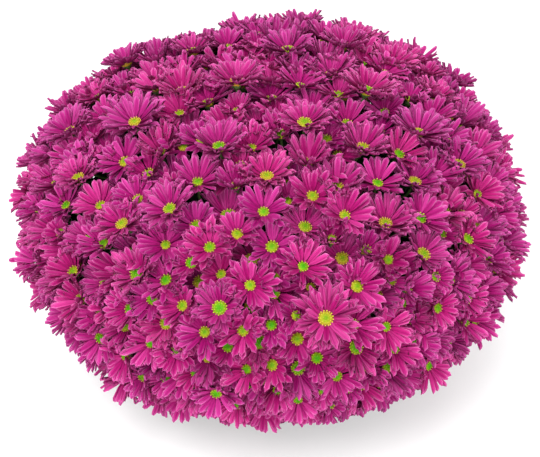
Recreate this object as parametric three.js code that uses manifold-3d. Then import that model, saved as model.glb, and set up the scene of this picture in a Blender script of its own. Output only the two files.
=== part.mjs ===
// Potted garden chrysanthemum: a low dome of daisy blooms on leafy sprays that rise from the soil of a
// plain nursery pot and hang over its rim. Millimetres, +Z up, origin on the floor under the middle of the
// pot, front towards -Y. Each spray is one piece: its stem, its leaves and all its blooms.

import * as THREE from "three";
import { mergeVertices } from "three/addons/utils/BufferGeometryUtils.js";
import Module from "manifold-3d";

const wasm = await Module();
wasm.setup();

// The dome: the surface on which the bloom centres lie.
const DOME_RADIUS = 214;
const DOME_HALF_HEIGHT = 149;
const DOME_MIDDLE = 168;
const SKIRT_HEIGHT = 50;
const LEAN_SWELL = 4;
const LOBE_SWELL = -3;
const AREA_STEPS = 200;

// Blooms.
const BLOOM_COUNT = 230;
const BLOOM_RADIUS = 27;
const SMALLEST_SHARE = 0.84;
const LARGEST_SHARE = 1.08;
const PETALS_LARGE = 7;
const PETALS_SMALL = 6;
const LARGE_FROM = 28;
const PETAL_RISE = 8;
const WHORL_STEP = 3.5;
const NOTCH_SHARE = 0.34;
const TIP_HALF_ANGLE_SHARE = 0.74;
const DISC_HEIGHT = 2.5;
const CALYX_RADIUS = 2.4;
const CALYX_DEPTH = 7;
const UPTURN = 0.85;
const TILT_SPREAD = 0.2;
const PLACE_SPREAD = 5;
const TOP_MARGIN = 20;
const SEED = 40;

// How the blooms are kept apart.
const LEVELS = [0, -4, -8, 4, -12, 8, -16, -20, 12];
const SHRINK = 0.93;
const SHRINK_ROUNDS = 7;
const NEAR = 86;
const CLEARANCE = 1.1;
const STEM_CLEARANCE = 3;
const TEST_RINGS = [1, 0.6, 0.25];
const TEST_DIRECTIONS = 10;

// Sprays, stems and leaves.
const SPRAY_COUNT = 24;
const FORK_DEPTH = 62;
const FORK_HEIGHT = 185;
const FORK_RADIUS = 130;
const SHOULDER_REACH = 0.5;
const SHOULDER_RISE = 0.55;
const RIM_PASS = 20;
const COLLAR_HEIGHT = 6;
const MAIN_STEM_RADIUS = 3.8;
const STEM_TAPER = [1, 1, 0.9, 0.75];
const STEM_SIDES = 4;
const BLOOM_STEM_RADIUS = 1.2;
const JUNCTION_SPACING = 3.6;
const LEAVES_PER_SPRAY = 2;
const LEAF_SLOPES = [0.3, 0.6, 0, 0.9, -0.3];
const LEAF_BEARINGS = 16;
const LEAF_PLACE = 0.4;
const LEAF_DROOP = 0.16;
const LEAF_MIDDLE = 0.56;
const LEAF_LENGTH = 48;
const LEAF_RIB = 1.1;
const LEAF_HALF_OUTLINE = [
  [0, 0.012],
  [0.24, 0.035],
  [0.38, 0.2],
  [0.5, 0.13],
  [0.66, 0.27],
  [0.78, 0.14],
];

// Pot and soil.
const POT_HEIGHT = 150;
const POT_FOOT_RADIUS = 79;
const POT_TOP_RADIUS = 107;
const POT_WALL = 2;
const RIM_OVERHANG = 5;
const RIM_HEIGHT = 18;
const SOIL_TOP = 138;
const SOIL_CROWN = 3;
const CROWN_SHARE = 0.6;
const POT_SIDES = 20;
const DRAIN_COUNT = 4;
const DRAIN_RADIUS = 4.5;
const DRAIN_SIDES = 6;
const DRAIN_CIRCLE = 56;
const ROOTED_RADIUS = 84;
const HOLE_DEPTH = 26;
const FIT_GAP = 0.35;

const GOLDEN_ANGLE = Math.PI * (3 - Math.sqrt(5));
const TURN = 2 * Math.PI;
const UP = new THREE.Vector3(0, 0, 1);

const PETAL_MATERIAL = new THREE.MeshStandardMaterial({ color: 0xb8307f, roughness: 0.55, metalness: 0 });
const SOIL_MATERIAL = new THREE.MeshStandardMaterial({ color: 0x3a2a1e, roughness: 1, metalness: 0 });
const POT_MATERIAL = new THREE.MeshStandardMaterial({ color: 0x24302a, roughness: 0.5, metalness: 0 });

// A repeatable stream of numbers from 0 to 1.
function seededRandom(seed) {
  let state = seed >>> 0;
  return () => {
    state = (Math.imul(state, 1664525) + 1013904223) >>> 0;
    return state / 4294967296;
  };
}

// A closed solid from a geometry, with its shared vertices merged.
function solidOf(geometry) {
  const bare = geometry.clone();
  bare.deleteAttribute("normal");
  bare.deleteAttribute("uv");
  const merged = mergeVertices(bare, 1e-4);
  return new wasm.Manifold(
    new wasm.Mesh({
      numProp: 3,
      vertProperties: new Float32Array(merged.attributes.position.array),
      triVerts: new Uint32Array(merged.index.array),
    }),
  );
}

// The geometry of a solid.
function geometryOf(solid) {
  const mesh = solid.getMesh();
  const geometry = new THREE.BufferGeometry();
  geometry.setAttribute("position", new THREE.BufferAttribute(mesh.vertProperties, 3));
  geometry.setIndex(new THREE.BufferAttribute(mesh.triVerts, 1));
  return geometry;
}

// A geometry from a list of points and a list of triangles.
function meshGeometry(points, triangles) {
  const geometry = new THREE.BufferGeometry().setFromPoints(points);
  geometry.setIndex(triangles.flat());
  return geometry;
}

// The polar angle on the dome's outline, from its top, that has a given share of the area above it.
function areaTable() {
  const steps = AREA_STEPS;
  const last = Math.acos((SKIRT_HEIGHT - DOME_MIDDLE) / DOME_HALF_HEIGHT);
  const ring = (polar) =>
    DOME_RADIUS *
    Math.sin(polar) *
    Math.hypot(DOME_RADIUS * Math.cos(polar), DOME_HALF_HEIGHT * Math.sin(polar));
  const sums = [0];
  for (let i = 1; i <= steps; i++) {
    sums.push(sums[i - 1] + ring(((i - 0.5) / steps) * last));
  }
  return (share) => {
    const wanted = share * sums[steps];
    let i = 1;
    while (sums[i] < wanted) {
      i++;
    }
    return ((i - 1 + (wanted - sums[i - 1]) / (sums[i] - sums[i - 1])) / steps) * last;
  };
}

// A point of the dome and its outward normal, from the polar angle and the bearing.
function domePoint(polar, bearing) {
  const [sine, cosine] = [Math.sin(polar), Math.cos(polar)];
  const [east, north] = [Math.cos(bearing), Math.sin(bearing)];
  const normal = new THREE.Vector3(
    (sine * east) / DOME_RADIUS,
    (sine * north) / DOME_RADIUS,
    cosine / DOME_HALF_HEIGHT,
  ).normalize();
  const swell = LEAN_SWELL * east * cosine + LOBE_SWELL * Math.cos(3 * bearing) * sine * sine;
  const point = new THREE.Vector3(
    DOME_RADIUS * sine * east,
    DOME_RADIUS * sine * north,
    DOME_MIDDLE + DOME_HALF_HEIGHT * cosine,
  ).addScaledVector(normal, swell);
  return { point, normal };
}

// Two unit vectors square to an axis, turned about it by a spin.
function crossAxes(axis, spin) {
  const helper = Math.abs(axis.x) < 0.6 ? new THREE.Vector3(1, 0, 0) : new THREE.Vector3(0, 1, 0);
  const first = new THREE.Vector3().crossVectors(axis, helper).normalize().applyAxisAngle(axis, spin);
  return [first, new THREE.Vector3().crossVectors(axis, first)];
}

// The sprays: each has a middle on the dome, and a stem that goes from its hole in the soil to its fork.
function makeSprays(polarAt) {
  const sprays = [];
  for (let k = 0; k < SPRAY_COUNT; k++) {
    const polar = polarAt((k + 0.5) / SPRAY_COUNT);
    const bearing = k * GOLDEN_ANGLE;
    const { point: middle } = domePoint(polar, bearing);
    const outwards = new THREE.Vector3(Math.cos(bearing), Math.sin(bearing), 0);
    const rooted = ROOTED_RADIUS * (polar / polarAt(1));
    const turning = outwards.clone().multiplyScalar(FORK_RADIUS * Math.sin(Math.min(polar, TURN / 4)));
    turning.z = FORK_HEIGHT;
    const inwards = turning.sub(middle).normalize();
    const fork = middle.clone().addScaledVector(inwards, FORK_DEPTH);
    const forkReach = Math.hypot(fork.x, fork.y);
    const shoulder = outwards.clone().multiplyScalar(rooted + SHOULDER_REACH * (forkReach - rooted));
    const straight = SOIL_TOP + SHOULDER_RISE * (fork.z - SOIL_TOP);
    shoulder.z = forkReach > POT_TOP_RADIUS ? Math.max(straight, POT_HEIGHT + RIM_PASS) : straight;
    const root = outwards.clone().multiplyScalar(rooted);
    const foot = root.clone().setZ(SOIL_TOP - HOLE_DEPTH);
    const collar = root.clone().setZ(SOIL_TOP + COLLAR_HEIGHT);
    const sideways = new THREE.Vector3().crossVectors(UP, outwards);
    sprays.push({ middle, fork, shoulder, collar, foot, sideways, blooms: [] });
  }
  return sprays;
}

// The blooms, on a spiral of even area from the top of the dome to its skirt.
function makeBlooms(polarAt, sprays) {
  const random = seededRandom(SEED);
  const spread = () => 2 * random() - 1;
  const blooms = [];
  for (let i = 0; i < BLOOM_COUNT; i++) {
    const ringPolar = polarAt((i + 0.5) / BLOOM_COUNT);
    const ringRadius = Math.max(TOP_MARGIN, DOME_RADIUS * Math.sin(ringPolar));
    const polar = Math.abs(ringPolar + (spread() * PLACE_SPREAD) / DOME_RADIUS);
    const bearing = i * GOLDEN_ANGLE + (spread() * PLACE_SPREAD) / ringRadius;
    const { point: home, normal } = domePoint(polar, bearing);
    const facing = normal
      .addScaledVector(UP, UPTURN)
      .add(new THREE.Vector3(spread(), spread(), spread()).multiplyScalar(TILT_SPREAD))
      .normalize();
    const radius = BLOOM_RADIUS * (SMALLEST_SHARE + (LARGEST_SHARE - SMALLEST_SHARE) * random());
    const [right, ahead] = crossAxes(facing, random() * TURN);
    const petals = radius > LARGE_FROM ? PETALS_LARGE : PETALS_SMALL;
    const bloom = { home, centre: home.clone(), facing, right, ahead, radius, petals };
    blooms.push(bloom);
    sprays
      .reduce((a, b) => (b.middle.distanceTo(home) < a.middle.distanceTo(home) ? b : a))
      .blooms.push(bloom);
  }
  return blooms;
}

// Gives each bloom the place on its spray's stem where its own stem joins, the foremost at the fork.
function joinStems(spray) {
  const down = spray.shoulder.clone().sub(spray.fork).normalize();
  const depth = (bloom) => bloom.home.clone().sub(spray.fork).dot(down);
  spray.blooms.sort((a, b) => depth(a) - depth(b));
  spray.blooms.forEach((bloom, order) => {
    bloom.junction = spray.fork.clone().addScaledVector(down, order * JUNCTION_SPACING);
  });
}

// Heights above a bloom's centre plane of the top and of the underside, at a distance from its axis.
function topHeight(bloom, away) {
  const notch = NOTCH_SHARE * bloom.radius;
  return Math.max(DISC_HEIGHT, ((PETAL_RISE + WHORL_STEP) * (away - notch)) / (bloom.radius - notch));
}
function undersideHeight(bloom, away) {
  return -CALYX_DEPTH + ((PETAL_RISE + CALYX_DEPTH) * away) / bloom.radius;
}

// How far a point is from a bloom's axis, and how high it is above its centre plane.
function placeOver(bloom, point) {
  const offset = point.clone().sub(bloom.centre);
  const height = offset.dot(bloom.facing);
  return { height, away: Math.sqrt(Math.max(0, offset.lengthSq() - height * height)) };
}

// 1 where bloom a passes over bloom b, -1 where it passes under it, 0 where they are apart and NaN where
// they cross.
function passes(a, b) {
  let side = 0;
  for (const share of TEST_RINGS) {
    const away = share * a.radius;
    for (let k = 0; k < TEST_DIRECTIONS; k++) {
      const turn = (k * TURN) / TEST_DIRECTIONS;
      const rim = a.centre
        .clone()
        .addScaledVector(a.right, away * Math.cos(turn))
        .addScaledVector(a.ahead, away * Math.sin(turn));
      const upper = placeOver(b, rim.clone().addScaledVector(a.facing, topHeight(a, away)));
      const lower = placeOver(b, rim.clone().addScaledVector(a.facing, undersideHeight(a, away)));
      if (Math.min(upper.away, lower.away) > b.radius + CLEARANCE) {
        continue;
      }
      const over = lower.height > topHeight(b, Math.min(lower.away, b.radius)) + CLEARANCE;
      const under = upper.height < undersideHeight(b, Math.min(upper.away, b.radius)) - CLEARANCE;
      const here = over ? 1 : under ? -1 : NaN;
      if (Number.isNaN(here) || side * here < 0) {
        return NaN;
      }
      side = here;
    }
  }
  return side;
}

// Whether the stem of bloom a runs through bloom b.
function stemHits(a, b) {
  const start = a.centre.clone().addScaledVector(a.facing, -CALYX_DEPTH);
  for (let i = 0; i <= TEST_DIRECTIONS; i++) {
    const { height, away } = placeOver(b, start.clone().lerp(a.junction, i / TEST_DIRECTIONS));
    const inside = away < b.radius + STEM_CLEARANCE;
    const low = undersideHeight(b, Math.min(away, b.radius)) - STEM_CLEARANCE;
    const high = topHeight(b, Math.min(away, b.radius)) + STEM_CLEARANCE;
    if (inside && height > low && height < high) {
      return true;
    }
  }
  return false;
}

// Whether two blooms, or the stem of either, run through each other.
function clash(a, b) {
  return Number.isNaN(passes(a, b)) || Number.isNaN(passes(b, a)) || stemHits(a, b) || stemHits(b, a);
}

// Raises or lowers each bloom along its axis until it passes clear of its neighbours, and makes it smaller
// where no level is free.
function layerBlooms(blooms) {
  const placed = [];
  for (const bloom of blooms) {
    const near = placed.filter((other) => other.home.distanceTo(bloom.home) < NEAR);
    const free = (level) => {
      bloom.centre = bloom.home.clone().addScaledVector(bloom.facing, level);
      return !near.some((other) => clash(bloom, other));
    };
    for (let round = 0; round < SHRINK_ROUNDS && !LEVELS.some(free); round++) {
      bloom.radius *= SHRINK;
    }
    placed.push(bloom);
  }
}

// Points on a ring round a centre, square to an axis, from the side where it starts.
function ringPoints(centre, axis, side, radius, count) {
  return Array.from({ length: count }, (_, j) =>
    side
      .clone()
      .applyAxisAngle(axis, (j * TURN) / count)
      .multiplyScalar(radius)
      .add(centre),
  );
}

// A bloom: blunt petals in two whorls round a raised disc, over a calyx that narrows into its own stem.
function bloomGeometry(bloom) {
  const { centre, facing, right, ahead, radius, petals, junction } = bloom;
  const at = (turn, away, height) =>
    centre
      .clone()
      .addScaledVector(right, away * Math.cos(turn))
      .addScaledVector(ahead, away * Math.sin(turn))
      .addScaledVector(facing, height);
  const step = TURN / petals;
  const half = (step / 2) * TIP_HALF_ANGLE_SHARE;
  const points = [at(0, 0, DISC_HEIGHT)];
  const outline = [];
  for (let k = 0; k < petals; k++) {
    const rise = PETAL_RISE + (k % 2) * WHORL_STEP;
    outline.push({ turn: (k - 0.5) * step, away: NOTCH_SHARE * radius, height: 0 });
    outline.push({ turn: k * step - half, away: radius, height: rise });
    outline.push({ turn: k * step + half, away: radius, height: rise });
  }
  outline.forEach(({ turn, away, height }) => points.push(at(turn, away, height)));
  const triangles = [];
  for (let k = 0; k < petals; k++) {
    const [before, left, tip] = [1 + 3 * k, 2 + 3 * k, 3 + 3 * k];
    const after = 1 + 3 * ((k + 1) % petals);
    triangles.push([0, before, after], [before, left, tip], [before, tip, after]);
  }
  const below = at(0, 0, -CALYX_DEPTH);
  const along = below.clone().sub(junction).normalize();
  const bend = facing.clone().add(along).normalize();
  const calyx = points.length;
  const turnTo = (axis) => new THREE.Quaternion().setFromUnitVectors(facing, axis);
  const rightOf = (axis) => right.clone().applyQuaternion(turnTo(axis));
  points.push(...ringPoints(below, bend, rightOf(bend), CALYX_RADIUS, 3));
  const calyxOf = (edge) => Math.floor((edge * 3) / outline.length + 0.5) % 3;
  outline.forEach((_, edge) => {
    const [from, to] = [1 + edge, 1 + ((edge + 1) % outline.length)];
    const [here, next] = [calyxOf(edge), calyxOf((edge + 1) % outline.length)];
    triangles.push([to, from, calyx + here]);
    if (here !== next) {
      triangles.push([to, calyx + here, calyx + next]);
    }
  });
  const end = points.length;
  points.push(...ringPoints(junction, along, rightOf(along), BLOOM_STEM_RADIUS, 3));
  for (let j = 0; j < 3; j++) {
    const next = (j + 1) % 3;
    triangles.push([calyx + next, calyx + j, end + j], [calyx + next, end + j, end + next]);
  }
  triangles.push([end, end + 2, end + 1]);
  return meshGeometry(points, triangles);
}

// A tube through points in a plane that the side vector is square to, with a radius at each, closed at
// both ends.
function tubeGeometry(path, radii, side) {
  const sides = STEM_SIDES;
  const points = [];
  const triangles = [];
  path.forEach((point, i) => {
    const before = path[Math.max(0, i - 1)];
    const after = path[Math.min(path.length - 1, i + 1)];
    const along = after.clone().sub(before).normalize();
    points.push(...ringPoints(point, along, side, radii[i], sides));
    for (let j = 0; j < sides && i > 0; j++) {
      const [here, next] = [i * sides + j, i * sides + ((j + 1) % sides)];
      triangles.push([here - sides, next - sides, next], [here - sides, next, here]);
    }
  });
  const last = (path.length - 1) * sides;
  for (let j = 1; j < sides - 1; j++) {
    triangles.push([0, j + 1, j], [last, last + j, last + j + 1]);
  }
  return meshGeometry(points, triangles);
}

// A lobed leaf that starts at a base point inside its stem, with a rib under its middle.
function leafGeometry(base, along, outwards, length) {
  const across = new THREE.Vector3().crossVectors(outwards, along).normalize();
  const normal = new THREE.Vector3().crossVectors(along, across);
  const at = ([share, width], lift) =>
    base
      .clone()
      .addScaledVector(along, share * length)
      .addScaledVector(across, width * length)
      .addScaledVector(normal, lift - LEAF_DROOP * share * share * length);
  const mirrored = LEAF_HALF_OUTLINE.map(([share, width]) => [share, -width]);
  const outline = [...mirrored, [1, 0], ...LEAF_HALF_OUTLINE.toReversed()];
  const points = outline.map((place) => at(place, 0));
  const middle = [LEAF_MIDDLE, 0];
  points.push(at(middle, LEAF_RIB), at(middle, -LEAF_RIB));
  const count = outline.length;
  const triangles = outline.flatMap((_, i) => [
    [count, i, (i + 1) % count],
    [count + 1, (i + 1) % count, i],
  ]);
  return meshGeometry(points, triangles);
}

// Whether two solids share any space.
function meet(a, b) {
  return a.intersect(b).getMesh().triVerts.length > 0;
}

// The main stem of a spray, from its foot in the soil to its fork.
function stemSolid({ fork, shoulder, collar, foot, sideways }) {
  const radii = STEM_TAPER.map((share) => share * MAIN_STEM_RADIUS);
  return solidOf(tubeGeometry([foot, collar, shoulder, fork], radii, sideways));
}

// A leaf on the stem of a bloom, at the first bearing and slope where it is clear of the solids round it.
function leafOn(bloom, around) {
  const below = bloom.centre.clone().addScaledVector(bloom.facing, -CALYX_DEPTH);
  const base = below.clone().lerp(bloom.junction, LEAF_PLACE);
  const stemwards = below.sub(bloom.junction).normalize();
  const [side] = crossAxes(stemwards, 0);
  for (const slope of LEAF_SLOPES) {
    for (let k = 0; k < LEAF_BEARINGS; k++) {
      const along = side
        .clone()
        .applyAxisAngle(stemwards, k * GOLDEN_ANGLE)
        .addScaledVector(stemwards, slope)
        .normalize();
      const leaf = solidOf(leafGeometry(base, along, stemwards, LEAF_LENGTH));
      if (!around.some((other) => meet(leaf, other))) {
        return leaf;
      }
    }
  }
  return null;
}

// The leaves of a spray, on the stems of its first blooms that have room for one.
function leafSolids(spray, flowers, around) {
  const leaves = [];
  spray.blooms.forEach((bloom, i) => {
    const beside = flowers.filter((_, j) => j !== i);
    const leaf = leaves.length < LEAVES_PER_SPRAY && leafOn(bloom, [...around, ...beside, ...leaves]);
    if (leaf) {
      leaves.push(leaf);
    }
  });
  return leaves;
}

// A body of revolution about Z from a profile of [radius, height] pairs.
function turned(profile, sides) {
  const points = profile.map(([radius, height]) => new THREE.Vector2(radius, height));
  return new THREE.LatheGeometry(points, sides).rotateX(Math.PI / 2);
}

// The outer radius of the pot's tapered wall at a height.
function potRadius(height) {
  return POT_FOOT_RADIUS + ((POT_TOP_RADIUS - POT_FOOT_RADIUS) * height) / POT_HEIGHT;
}

// The pot: a tapered nursery pot with a rim band and drain holes.
function potSolid() {
  const band = POT_HEIGHT - RIM_HEIGHT;
  const profile = [
    [0, 0],
    [POT_FOOT_RADIUS, 0],
    [potRadius(band), band],
    [potRadius(band) + RIM_OVERHANG, band],
    [POT_TOP_RADIUS + RIM_OVERHANG, POT_HEIGHT],
    [POT_TOP_RADIUS - POT_WALL, POT_HEIGHT],
    [potRadius(POT_WALL) - POT_WALL, POT_WALL],
    [0, POT_WALL],
  ];
  let pot = solidOf(turned(profile, POT_SIDES));
  for (let i = 0; i < DRAIN_COUNT; i++) {
    const turn = ((i + 0.5) * TURN) / DRAIN_COUNT;
    const drain = new THREE.CylinderGeometry(DRAIN_RADIUS, DRAIN_RADIUS, 4 * POT_WALL, DRAIN_SIDES)
      .rotateX(Math.PI / 2)
      .translate(DRAIN_CIRCLE * Math.cos(turn), DRAIN_CIRCLE * Math.sin(turn), 0);
    pot = pot.subtract(solidOf(drain));
  }
  return pot;
}

// The soil, with a plain hole for each stem.
function soilSolid(sprays) {
  const low = POT_WALL + FIT_GAP;
  const inner = (height) => potRadius(height) - POT_WALL - FIT_GAP;
  const profile = [
    [0, low],
    [inner(low), low],
    [inner(SOIL_TOP), SOIL_TOP],
    [CROWN_SHARE * inner(SOIL_TOP), SOIL_TOP + SOIL_CROWN],
    [0, SOIL_TOP + SOIL_CROWN],
  ];
  let soil = solidOf(turned(profile, POT_SIDES));
  for (const { foot, sideways } of sprays) {
    const floor = foot.clone().setZ(foot.z - FIT_GAP);
    const mouth = foot.clone().setZ(SOIL_TOP + 2 * SOIL_CROWN);
    const wide = MAIN_STEM_RADIUS + FIT_GAP * Math.SQRT2;
    soil = soil.subtract(solidOf(tubeGeometry([floor, mouth], [wide, wide], sideways)));
  }
  return soil;
}

// A named mesh of a solid.
function node(name, solid, material) {
  const mesh = new THREE.Mesh(geometryOf(solid), material);
  mesh.name = name;
  return mesh;
}

const polarAt = areaTable();
const sprays = makeSprays(polarAt);
const blooms = makeBlooms(polarAt, sprays);
sprays.forEach(joinStems);
layerBlooms(blooms);

const pot = potSolid();
const soil = soilSolid(sprays);
const stems = sprays.map(stemSolid);
const flowers = sprays.map((spray) => spray.blooms.map((bloom) => solidOf(bloomGeometry(bloom))));
const leaves = [];
sprays.forEach((spray, k) => {
  const others = flowers.filter((_, j) => j !== k).flat();
  leaves.push(leafSolids(spray, flowers[k], [pot, soil, ...stems, ...others, ...leaves.flat()]));
});

const plant = new THREE.Group();
plant.add(node("pot", pot, POT_MATERIAL));
plant.add(node("soil", soil, SOIL_MATERIAL));
sprays.forEach((_, k) => {
  const name = `spray_${String(k + 1).padStart(2, "0")}`;
  const spray = [...leaves[k], ...flowers[k]].reduce((whole, piece) => whole.add(piece), stems[k]);
  plant.add(node(name, spray, PETAL_MATERIAL));
});

export default plant;
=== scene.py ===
"""Potted chrysanthemum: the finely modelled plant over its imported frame.

The script works in millimetres and scales to metres where it makes a mesh. +Z is up, the front faces -Y.
"""

import math

import bmesh
import bpy
import numpy as np
from mathutils import Matrix, Vector


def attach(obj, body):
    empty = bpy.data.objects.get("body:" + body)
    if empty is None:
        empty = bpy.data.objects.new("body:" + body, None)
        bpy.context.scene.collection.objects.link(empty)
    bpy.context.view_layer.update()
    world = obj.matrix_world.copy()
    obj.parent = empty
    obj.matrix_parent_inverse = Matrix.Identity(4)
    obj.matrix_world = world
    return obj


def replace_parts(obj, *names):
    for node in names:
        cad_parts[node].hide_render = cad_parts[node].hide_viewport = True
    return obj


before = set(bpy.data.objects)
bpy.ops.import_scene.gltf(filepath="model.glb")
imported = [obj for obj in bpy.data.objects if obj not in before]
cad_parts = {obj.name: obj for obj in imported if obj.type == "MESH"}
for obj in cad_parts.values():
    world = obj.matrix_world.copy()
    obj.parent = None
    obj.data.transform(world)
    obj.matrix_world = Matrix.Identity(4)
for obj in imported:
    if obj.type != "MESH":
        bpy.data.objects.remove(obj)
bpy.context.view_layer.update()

MM = 0.001
TURN = 2 * math.pi
GOLDEN_ANGLE = math.pi * (3 - math.sqrt(5))
UP = np.array([0.0, 0.0, 1.0])
# An axis counts as near the x axis from this x part on.
NEAR_X = 0.6

# The rule that places the sprays and the lead blooms is the frame's own, with its sizes.
DOME_RADIUS = 214
DOME_HALF_HEIGHT = 149
DOME_MIDDLE = 168
DOME_RADII = np.array([DOME_RADIUS, DOME_RADIUS, DOME_HALF_HEIGHT])
SKIRT_HEIGHT = 50
LEAN_SWELL = 4
LOBE_SWELL = -3
AREA_STEPS = 200
BLOOM_COUNT = 230
BLOOM_RADIUS = 27
SMALLEST_SHARE = 0.84
LARGEST_SHARE = 1.08
PETALS_LARGE = 7
PETALS_SMALL = 6
LARGE_FROM = 28
PETAL_RISE = 8
TIP_HALF_ANGLE_SHARE = 0.74
DISC_HEIGHT = 2.5
CALYX_DEPTH = 7
UPTURN = 0.85
TILT_SPREAD = 0.2
PLACE_SPREAD = 5
TOP_MARGIN = 20
FRAME_SEED = 40
LEVELS = [0, -4, -8, 4, -12, 8, -16, -20, 12]
SHRINK = 0.93
SHRINK_ROUNDS = 7
SPRAY_COUNT = 24
FORK_DEPTH = 62
FORK_HEIGHT = 185
FORK_RADIUS = 130
SHOULDER_REACH = 0.5
SHOULDER_RISE = 0.55
RIM_PASS = 20
COLLAR_HEIGHT = 6
MAIN_STEM_RADIUS = 3.8
BLOOM_STEM_RADIUS = 1.2
JUNCTION_SPACING = 3.6
POT_HEIGHT = 150
POT_FOOT_RADIUS = 79
POT_TOP_RADIUS = 107
POT_WALL = 2
RIM_OVERHANG = 5
RIM_HEIGHT = 18
DRAIN_COUNT = 4
DRAIN_RADIUS = 4.5
DRAIN_CIRCLE = 56
SOIL_TOP = 138
SOIL_CROWN = 3
ROOTED_RADIUS = 84
HOLE_DEPTH = 26
# A place in the frame counts as found when one of its corners is this near.
FOUND_WITHIN = 0.02

# What is finer here than in the frame. Eyes are the discs, and a cupped bloom has its petals still raised.
LOOK_SEED = 732
LEAD_SIZES = (0.91, 1.0)
LEAD_CUPPED = (0, 0.14)
LEAD_EYE = 5.9
LEAD_EYE_SHARES = (0.9, 1.08)
FILLER_COUNT = 484
DEEP_COUNT = 190
FILLER_SPOTS = 5000
FILLER_LOWEST = 0.97
FILLER_RADII = (15, 24)
DEEP_RADII = (23, 27)
FILLER_EYE = 4.6
FILLER_EYE_SHARES = (0.85, 1.15)
FILLER_UPTURN = 0.55
FILLER_TILT = 1.2
FILLER_DEPTH, DEPTH_SPREAD, DEPTH_BY_GAP = 8, 5, 0.6
DEPTH_LIMITS = (-3, 16)
DEEP_EXTRA = 5
SIZE_BY_GAP, SIZE_SPREAD = 0.95, (-2, 3)
FILLER_CROWDING = 0.6
FILLERS_OPEN = 0.8
OPEN_CUPPED = (0.1, 0.15)
HALF_OPEN_CUPPED = (0.3, 0.8)
CUPPED_COVER = 0.6
COVER_RISE = 6
JUNCTION_PLACES = (0.05, 0.75)
RIPE_BY_CHANCE, RIPE_AND_LIT_BY_HEIGHT, FILLER_RIPE_AND_LIT = 0.85, 0.55, 0.8
SKIRT_ROOM = 5
CROWN_FROM, CROWN_DROP = 0.8, 18
LOW_SPAN, LOW_RISE, LOW_SHRINK = 90, 4, 0.13
SAG_BEARINGS = (math.radians(-138), math.radians(-59))
SAG_SPREAD = 0.22
SAG_BELOW = 105
SAG_OUT, SAG_DOWN = 11, 12

# The whorls from the outside in: petals, length share, tip rise, base height, half width, start share.
LEAD_WHORLS = [
    (18, 1.00, 9.0, -0.8, 3.15, 0.55),
    (17, 0.92, 12.0, 0.1, 3.00, 0.60),
    (11, 0.73, 12.5, 1.0, 2.55, 0.70),
]
FILLER_WHORLS = [
    (15, 1.00, 9.0, -0.6, 3.05, 0.50),
    (12, 0.84, 12.0, 0.4, 2.80, 0.60),
]
DEEP_WHORLS = [(13, 1.00, 8.0, -0.6, 3.40, 0.50)]

# How petals vary: the mean and the spread of each draw.
PETAL_DRAWS = {
    "turn": (0, 0.075), "length": (1, 0.05), "roll": (0, 0.18), "half_width": (1, 0.07), "rise": (1, 0.15),
    "curl": (0.25, 0.38), "channel": (0.50, 0.10), "bend": (0, 0.055), "notch": (0, 0.03),
}
WHORL_TURN_SPREAD = 0.1
WIDTH_FIXED = 0.62
CUPPED_SHORTER, CUPPED_HIGHER = 0.42, 1.1
LEAST_LENGTH, DEEP_LEAST_LENGTH = 0.64, 0.92
NEIGHBOUR_REACH = 14
EYE_COVER_ABOVE, EYE_COVER_BELOW = 7, 20
PETAL_THICKNESS = 0.35
PETAL_FOOT_WIDTH = 0.46
TIP_FROM, TIP_SPAN, TIP_ROUNDING = 0.6, 0.45, 0.13
CURL_BACK, CURL_LIFT = 0.10, 0.16
PETAL_RIDGE = 0.14
# Each petal's UV is shifted by a whole number up to this, so that the streaks differ.
STREAK_PATTERNS = 60

# The circles of florets on an eye: how many, share of the eye's radius, half width as a share of it.
LEAD_FLORETS = [(16, 0.88, 0.125), (10, 0.62, 0.12), (5, 0.33, 0.12)]
FILLER_FLORETS = [(11, 0.85, 0.155), (3, 0.42, 0.17)]
EYE_BASE, EYE_HEIGHT = 0.8, 0.38
DIMPLE_DEPTH, DIMPLE_NARROWNESS = 0.35, 2.2
EYE_FOOT, EYE_FOOT_DEPTH = 0.7, 3.0
FLORET_PLAY, FLORET_LEAN, FLORET_SPREAD = 0.2, 0.28, 0.14
FLORET_TOP, FLORET_SHOULDER, FLORET_TALLER, FLORET_LIFT = 0.8, 0.7, 0.7, 0.05

# The cup of bracts as (radius, height), the stems, and the leaves.
CUP_PROFILE = [(1.0, -7.0), (3.6, -4.6), (4.9, -1.8), (4.3, -0.3)]
CUP_SIDES = 7
STEM_TAPER = (1.15, 0.9)
STEM_SIDES = 4
STEM_STRAIGHT, STEM_STRAIGHT_SHARE, STEM_LEAVES_ALONG = 14, 0.3, 0.35
STEM_YOUTH, CUP_YOUTH, TRUNK_YOUTH = 0.3, 0.7, 0
TRUNK_TAPER = (0.96, 0.62)
TRUNK_SIDES, TRUNK_ROWS = 8, 14
TRUNK_UPRIGHT, TRUNK_BEND = 0.9, 12
FOLIAGE_PER_SPRAY = 31
LEAF_PLACES = (0.2, 0.85)
LEAF_LENGTHS = (48, 66)
SHORTEST_LEAF, LEAF_STEP = 18, 3
LEAF_LIMIT = 0.92
LEAF_OUTWARDS, LEAF_STEMWARDS = 0.35, (-0.1, 0.4)
LEAF_UPTURN, LEAF_TILT = 0.6, 0.25
LEAF_THICKNESS = 0.5
LEAF_DROOP, LEAF_FOLD = (0.22, 0.06), (0.22, 0.06)
LEAF_WAVE = 0.02

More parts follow.
